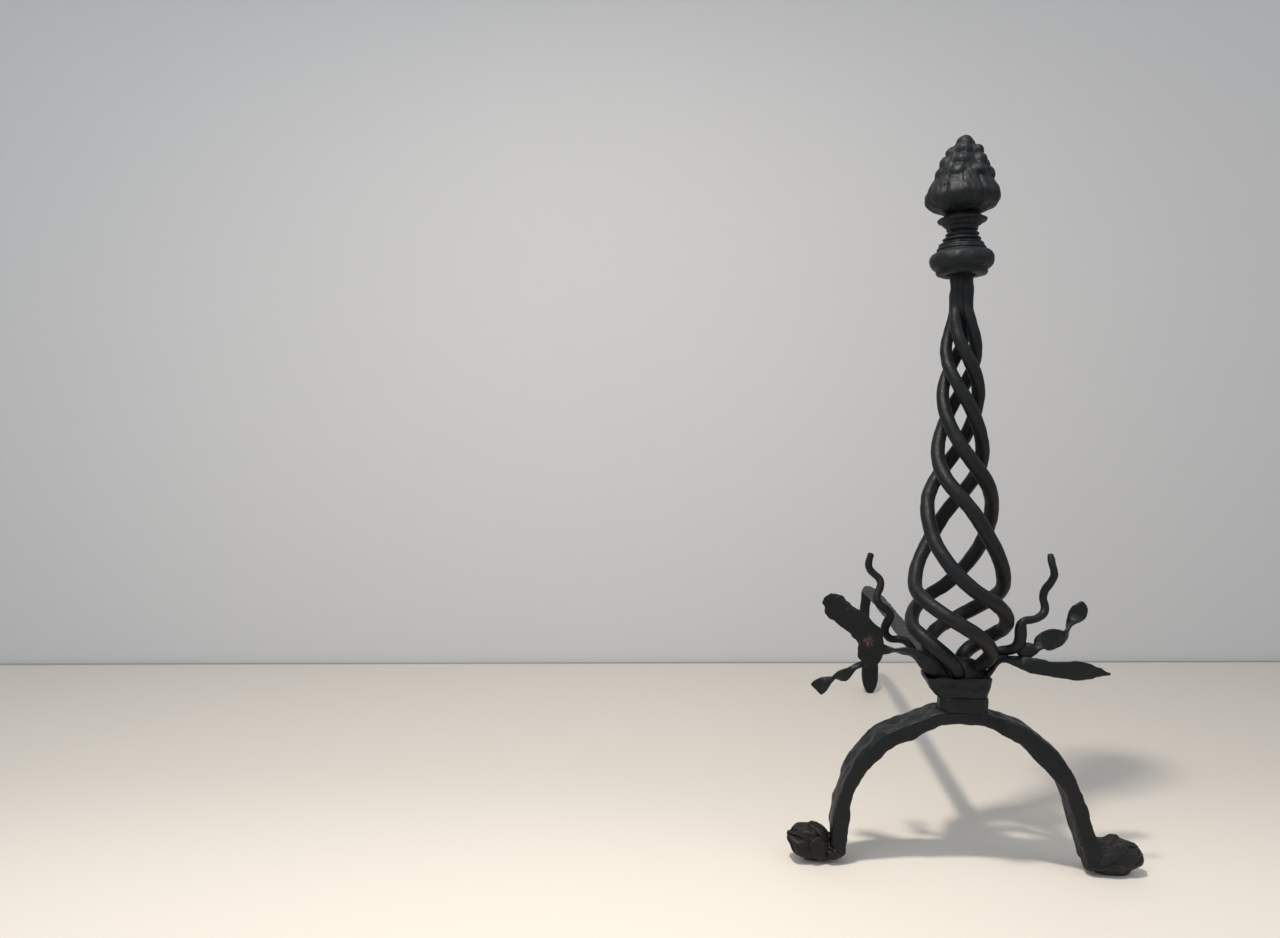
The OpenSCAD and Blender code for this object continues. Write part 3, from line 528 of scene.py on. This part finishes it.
def dress(piece, finish, node=None):
    """Smooth shading, finish and place in the frame of a finished piece; the CAD node that it
    stands in for, if there is one, is hidden."""
    pick(piece)
    bpy.ops.object.shade_smooth()
    piece.data.materials.clear()
    piece.data.materials.append(finish)
    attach(piece, "root")
    if node:
        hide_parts(node)


# ---------------------------------------------------------------- reliefs
def ramp(value, low, high):
    """0 below low, 1 above high, and a smooth rise between."""
    t = min(1.0, max(0.0, (value - low) / (high - low)))
    return t * t * (3.0 - 2.0 * t)


def groove(distance, width):
    """1 in the middle of a groove, 0 well outside it."""
    return math.exp(-(distance / width) ** 2)


def between(value, stations):
    """The value that a list of (place, value) stations gives at this place, in straight steps."""
    if value <= stations[0][0]:
        return stations[0][1]
    for (low, first), (high, second) in zip(stations, stations[1:]):
        if value <= high:
            return first + (second - first) * (value - low) / (high - low)
    return stations[-1][1]


def shingle(along, angle, count, petals, start):
    """The stepped relief of overlapping petals: it rises to each petal's tip, then drops. The
    tips run round the piece in scallops. Gives the height from -0.5 to 0.5, and the crease
    between two petals, from 0 to 1."""
    scallop = abs(math.cos(petals * (angle - start) / 2.0))
    phase = count * along - 0.50 * scallop
    turn = math.floor(phase)
    share = phase - turn
    shifted = petals * (angle - start + math.pi / petals * (turn % 2)) / 2.0
    crease = groove(math.cos(shifted), 0.20) * ramp(share, 0.0, 0.35)
    drop = 1.0 - ramp(share, 0.84, 1.0)
    return share * drop - 0.5, crease


def bud_relief(side):
    """Leaves folded round a foot, with their tips away from the leg, veins along them, and
    lumps where the folds lie thick. The sole stays flat."""
    low, high = (Vector(corner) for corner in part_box(f"foot_{side}"))
    tip, root = (low.x, high.x) if side == "left" else (high.x, low.x)
    start, lumps = (0.6, 3.0) if side == "left" else (1.5, 11.0)
    step, fold = (0.0036, 0.0026) if side == "left" else (0.0022, 0.0018)
    vein, swelling = 0.00014, 0.0030

    def relief(place):
        along = (place.x - root) / (tip - root)
        angle = math.atan2(place.z - 0.0155 - 0.006 * along, place.y - AXIS.y)
        height, crease = shingle(along, angle + 0.9 * along, 2.4, 4.0, start)
        veins = math.cos(20.0 * angle + 9.0 * along)
        lump = noise.noise(place * 75.0 + Vector((lumps, 0.0, 0.0)))
        on = ramp(place.z, 0.0008, 0.005) * ramp(along, 0.04, 0.18)
        return on * (step * height - fold * crease + vein * veins + swelling * lump)

    return relief


def slim_right_bud(piece):
    """Draws the right foot in towards its leg, a little shorter and slimmer than the left."""
    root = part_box("foot_right")[0][0]
    length, depth, height = 0.945, 0.88, 0.965
    for point in piece.data.vertices:
        point.co.x = root + length * (point.co.x - root)
        point.co.y = AXIS.y + depth * (point.co.y - AXIS.y)
        point.co.z *= height
    piece.data.update()


def cone_relief(place):
    """The cast bud: broad leaves with a middle vein round its bell, fine veins above, and an
    uneven casting all over."""
    bump, furrow, middle_vein, fine_vein = 0.0010, 0.0016, 0.0005, 0.00012
    share = (place.z - CONE_FOOT) / (CONE_TOP - CONE_FOOT)
    angle = math.atan2(place.y - AXIS.y, place.x - AXIS.x)
    skirt = ramp(share, 0.05, 0.14) * (1.0 - ramp(share, 0.40, 0.50))
    leaf = 3.0 * (angle - math.radians(20.0))
    gap = groove(math.cos(leaf), 0.22) * skirt
    middle = groove(math.sin(leaf), 0.10) * skirt
    side = math.cos(30.0 * angle + 26.0 * share) * skirt
    upper = ramp(share, 0.46, 0.52) * (1.0 - ramp(share, 0.90, 0.97))
    veins = math.cos(24.0 * angle) * upper
    lump = noise.noise(place * 130.0)
    return (bump * lump - furrow * gap - middle_vein * middle + fine_vein * side
            + fine_vein * veins)


def base_relief(place):
    """Turned ridges round the waist of the finial's base, and an uneven casting."""
    ridge, spacing, bump = 0.0012, 0.0041, 0.0007
    high = place.z - BASE_FOOT
    waist = ramp(high, 0.019, 0.023) * (1.0 - ramp(high, 0.036, 0.041))
    lump = noise.noise(place * 120.0)
    return ridge * math.cos(high * 2.0 * math.pi / spacing) * waist + bump * lump


def neck_relief(place):
    """Fills the furrows where the four rods are welded into one neck, above the cage."""
    everywhere, filled, bump = 0.0004, 0.0006, 0.0014
    welded = ramp(place.z, NECK_FOOT - 0.020, NECK_FOOT + 0.010)
    return everywhere + (filled + bump * noise.noise(place * 95.0)) * welded


def weld_relief(place):
    """The uneven skin of the weld in the neck, which thins out where the rods part."""
    bump, thinned = 0.0006, 0.0075
    parted = 1.0 - ramp(place.z, NECK_FOOT - 0.022, NECK_FOOT + 0.004)
    return bump * noise.noise(place * 140.0) - thinned * parted


def mouth_relief(place):
    """The collar's uneven rim and dented skin."""
    rim_wave, bump = 0.0030, 0.0009
    rim = ramp(place.z, MOUTH_TOP - 0.008, MOUTH_TOP)
    return rim_wave * rim * noise.noise(place * 80.0) + bump * noise.noise(place * 150.0)


def flare_mouth(piece):
    """Opens the collar a little further on its left, where the stems lean out of it."""
    flare = 0.0040
    for point in piece.data.vertices:
        left = ramp(AXIS.x - point.co.x, 0.004, 0.018)
        point.co.x -= flare * left * ramp(point.co.z, MOUTH_TOP - 0.028, MOUTH_TOP - 0.006)
    piece.data.update()


def fray(piece, depth, size):
    """Makes a flat leaf's edge ragged: its points move out and in, square to its thickness."""
    points = piece.data.vertices
    normals = [Vector(point.normal) for point in points]
    for point, normal in zip(points, normals):
        edge = (normal.x ** 2 + normal.z ** 2) ** 1.5
        wave = noise.noise(point.co / size) + 0.5 * noise.noise(point.co / (0.4 * size))
        point.co += Vector((normal.x, 0.0, normal.z)) * depth * edge * wave
    piece.data.update()


def tuck_behind(piece, start, back):
    """Leads a leaf's root back, right of this place, so that it ends behind its neighbour."""
    for point in piece.data.vertices:
        point.co.y += back * ramp(point.co.x, start - 0.006, start + 0.004)
    piece.data.update()


def forge_weld(name, middle, half_sizes, finish):
    """A lump of metal that has run into a joint, uneven all over."""
    deselect()
    bpy.ops.mesh.primitive_uv_sphere_add(segments=48, ring_count=24, radius=1.0)
    lump = bpy.context.object
    lump.name = name
    lump.scale = half_sizes
    lump.location = middle
    bpy.ops.object.transform_apply(location=True, rotation=False, scale=True)
    refine(lump, FINE, 2)
    bump = 0.0014
    carve(lump, lambda place: bump * noise.noise(place * 110.0))
    dress(lump, finish)


def swage_rear_leg(piece):
    """Hammers the rear leg to its own outline: narrow under the bend, wide and round at the
    toe, and leaning a little to the right as it goes down. Both lists go up from the table."""
    centres = [(0.004, 0.0024), (0.033, 0.0026), (0.045, 0.0020), (0.108, -0.0062),
               (0.121, -0.0052), (0.133, -0.0032), (0.160, -0.0032)]
    half_widths = [(0.001, 0.0045), (0.004, 0.0062), (0.009, 0.0086), (0.016, 0.0103),
                   (0.024, 0.0110), (0.040, 0.0112), (0.075, 0.0090), (0.108, 0.0068),
                   (0.128, 0.0064), (0.140, 0.0072), (0.146, 0.0062), (0.150, 0.0036)]
    leg_start, leg_full = BAR_END - 0.034, BAR_END - 0.012
    lean_start, lean_full = BAR_END - 0.120, BAR_END - 0.020
    slice_high = 0.002
    blank = {}
    leg = [point.co for point in piece.data.vertices if point.co.y > leg_start]
    for place in leg:
        row = int(place.z / slice_high)
        blank[row] = max(blank.get(row, 0.001), abs(place.x - AXIS.x))
    for place in (point.co for point in piece.data.vertices):
        in_leg = ramp(place.y, leg_start, leg_full)
        if in_leg:
            wide = between(place.z, half_widths) / blank[int(place.z / slice_high)]
            place.x = AXIS.x + (place.x - AXIS.x) * (1.0 + (wide - 1.0) * in_leg)
        place.x += ramp(place.y, lean_start, lean_full) * between(place.z, centres)
    piece.data.update()


# ---------------------------------------------------------------- the stage
WALL_TURN = math.radians(6.85)
WALL_AWAY = 0.72
STAGE_SIZE = 12.0
TABLE_WHITE = (0.80, 0.735, 0.665)
WALL_GREY = (0.610, 0.600, 0.602)
ROOM_LIGHT, ROOM_STRENGTH = (0.85, 0.93, 1.0, 1.0), 0.54

set_camera()
hammer_marks = hammer_group()
fire_scale = scale_group()
rubbed_edges = wear_group()
rust_blooms = rust_group()
speckled_spot = spot_group()
settled_ash = ash_group()

deselect()
bpy.ops.mesh.primitive_plane_add(size=STAGE_SIZE, location=(AXIS.x, AXIS.y, 0.0),
                                 rotation=(0.0, 0.0, WALL_TURN))
table = bpy.context.object
table.name = "pale_table"
# The table's dark line at the wall and its greying towards the back are painted shade.
table.data.materials.append(stage_material("table_white", TABLE_WHITE, shade_line=WALL_AWAY))

deselect()
bpy.ops.mesh.primitive_plane_add(
    size=STAGE_SIZE, rotation=(math.radians(90), 0.0, WALL_TURN),
    location=(AXIS.x - WALL_AWAY * math.sin(WALL_TURN),
              AXIS.y + WALL_AWAY * math.cos(WALL_TURN), 1.5))
wall = bpy.context.object
wall.name = "grey_wall"
wall.data.materials.append(stage_material("wall_grey", WALL_GREY, see_through_back=True))

add_softbox("key_above", (-0.285, -0.585, 1.25), (-0.24, -0.68, 0.0), 0.08, 12.6,
            (1.0, 0.935, 0.83))
add_softbox("fill_left", (-1.1, -1.5, 1.5), (-0.5, 0.4, 0.7), 1.0, 7.9,
            (0.80, 0.90, 1.0))
add_softbox("fill_right", (1.4, -0.9, 1.5), (0.7, 0.5, 0.8), 1.0, 3.5,
            (0.98, 0.98, 1.0))
world = bpy.data.worlds.new("studio")
world.use_nodes = True
world.node_tree.nodes["Background"].inputs["Color"].default_value = ROOM_LIGHT
world.node_tree.nodes["Background"].inputs["Strength"].default_value = ROOM_STRENGTH
bpy.context.scene.world = world
bpy.context.scene.view_settings.view_transform = "Standard"

# ---------------------------------------------------------------- finishes
bar_black = iron("hammered_bar", hammer=(62.0, 1.0), grain=420.0, pits=0.35, rough=0.46,
                 worn=(0.530, 0.62), rust=(0.70, 0.84), brown=0.5)
bud_black = iron("leaf_bud", hammer=(95.0, 0.8), grain=380.0, pits=0.7, rough=0.50,
                 worn=(0.535, 0.64), rust=(0.62, 0.78), brown=0.4, black=BUD_GREY)
bud_brown = iron("leaf_bud_brown", hammer=(95.0, 0.8), grain=380.0, pits=0.9, rough=0.48,
                 worn=(0.520, 0.60), rust=(0.60, 0.78), brown=0.9, black=BUD_BROWN)
rod_black = iron("drawn_rod", hammer=(85.0, 0.6), grain=460.0, pits=0.25, rough=0.50,
                 worn=(0.525, 0.62), rust=(0.72, 0.86), brown=0.8)
leaf_black = iron("beaten_leaf", hammer=(110.0, 0.7), grain=480.0, pits=0.3, rough=0.44,
                  worn=(0.54, 0.66), rust=(0.74, 0.88), brown=0.5)
rusty_leaf = iron("beaten_leaf_rusted", hammer=(110.0, 0.7), grain=480.0, pits=0.3, rough=0.48,
                  worn=(0.54, 0.66), rust=(0.70, 0.86), brown=0.3, black=LEAF_BLACK,
                  spot=(AXIS.x - 0.0752, AXIS.y - 0.017, 0.1890, 0.0095))
# The strip's pale grey base is painted highlight for the bright lines along its edges; its edges
# also wear bare more readily.
strip_highlight_grey = iron("strip_painted_highlight", hammer=(110.0, 0.7), grain=480.0, pits=0.3, rough=0.40,
                  worn=(0.50, 0.56), rust=(0.74, 0.88), brown=0.3, black=STRIP_HIGHLIGHT_GREY)
cast_black = iron("cast_finial", hammer=(150.0, 0.5), grain=340.0, pits=0.9, rough=0.54,
                  worn=(0.56, 0.68), rust=(0.70, 0.86), brown=0.3, black=CAST)

dents = smith_texture("hammer_dents", "VORONOI", 0.014, distance_metric="DISTANCE")
small_dents = smith_texture("small_dents", "VORONOI", 0.008, distance_metric="DISTANCE")
waves = smith_texture("uneven_drawing", "CLOUDS", 0.030, noise_depth=2)
ripples = smith_texture("leaf_ripples", "CLOUDS", 0.012, noise_depth=2)
nicks = smith_texture("edge_nicks", "CLOUDS", 0.005, noise_depth=2)

# ---------------------------------------------------------------- arch and bar
arch = copy_node("arch_bar", "hammered_arch")
refine(arch, BAR, 3)
grow(arch, 0.0007)
strike(arch, waves, 0.0026)
strike(arch, dents, 0.0024)
strike(arch, ripples, 0.0012)
strike(arch, nicks, 0.0005)
dress(arch, bar_black, "arch_bar")

billet = copy_node("billet_bar", "hammered_billet_bar")
refine(billet, LONG_BAR, 4)
swage_rear_leg(billet)
strike(billet, waves, 0.0014)
strike(billet, dents, 0.0010)
dress(billet, bar_black, "billet_bar")

heel = copy_node("cage_heel", "riveted_heel")
refine(heel, PLATE, 3)
dress(heel, bar_black, "cage_heel")

# ---------------------------------------------------------------- feet
for side, finish in (("left", bud_brown), ("right", bud_black)):
    bud = copy_node(f"foot_{side}", f"leaf_bud_{side}")
    refine(bud, FINE, 2)
    if side == "right":
        slim_right_bud(bud)
    carve(bud, bud_relief(side))
    apply_modifier(bud, "SMOOTH", factor=0.5, iterations=1)
    strike(bud, ripples, 0.0016)
    strike(bud, nicks, 0.0006)
    dress(bud, finish, f"foot_{side}")

# ---------------------------------------------------------------- collar
collar = copy_node("collar", "wrapped_collar")
refine(collar, FINE, 5)
flare_mouth(collar)
carve(collar, mouth_relief)
strike(collar, small_dents, 0.0007)
dress(collar, bar_black, "collar")

# ---------------------------------------------------------------- cage
for number in range(1, 5):
    rod = copy_node(f"cage_rod_{number}", f"twisted_rod_{number}")
    round_off(rod, 3)
    carve(rod, neck_relief)
    strike(rod, waves, 0.0009)
    strike(rod, small_dents, 0.0005)
    dress(rod, rod_black, f"cage_rod_{number}")

deselect()
bpy.ops.mesh.primitive_cylinder_add(vertices=48, radius=0.0088, depth=0.060,
                                    location=(AXIS.x, AXIS.y, stud_low.z - 0.028))
weld = bpy.context.object
weld.name = "welded_neck"
bpy.ops.object.transform_apply(location=True)
refine(weld, FINE, 2)
carve(weld, weld_relief)
dress(weld, rod_black)
forge_weld("bundle_weld", (AXIS.x + 0.0035, AXIS.y, MOUTH_TOP), (0.0195, 0.0125, 0.0145),
           rod_black)
forge_weld("spray_weld_right", (AXIS.x + 0.0515, AXIS.y - 0.0060, 0.1820),
           (0.0080, 0.0040, 0.0066), leaf_black)

# ---------------------------------------------------------------- sprays
sprays = {
    "stem_left": leaf_black, "broad_leaf_left": rusty_leaf, "twisted_leaf_left": leaf_black,
    "packing_strip": strip_highlight_grey, "long_leaf_right": leaf_black, "twisted_leaf_right": leaf_black,
    "tendril_left": rod_black, "tendril_right": rod_black,
}
ragged = {"broad_leaf_left": (0.0034, 0.013), "long_leaf_right": (0.0016, 0.016)}
for node, finish in sprays.items():
    spray = copy_node(node, f"forged_{node}")
    round_off(spray, 3)
    grow(spray, 0.00035)
    if node == "twisted_leaf_left":
        tuck_behind(spray, AXIS.x - 0.088, 0.0056)
    if node in ragged:
        fray(spray, *ragged[node])
    strike(spray, ripples, 0.0009)
    strike(spray, nicks, 0.0006)
    dress(spray, finish, node)

# ---------------------------------------------------------------- finial
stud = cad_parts["finial_stud"]
stud.data.materials.clear()
stud.data.materials.append(cast_black)

base = copy_node("finial_base", "turned_finial_base")
refine(base, FINE, 2)
carve(base, base_relief)
strike(base, ripples, 0.0009)
strike(base, nicks, 0.0003)
dress(base, cast_black, "finial_base")

cone = copy_node("finial_cone", "leafy_finial_cone")
refine(cone, FINE, 7)
carve(cone, cone_relief)
strike(cone, ripples, 0.0012)
strike(cone, nicks, 0.0006)
dress(cone, cast_black, "finial_cone")
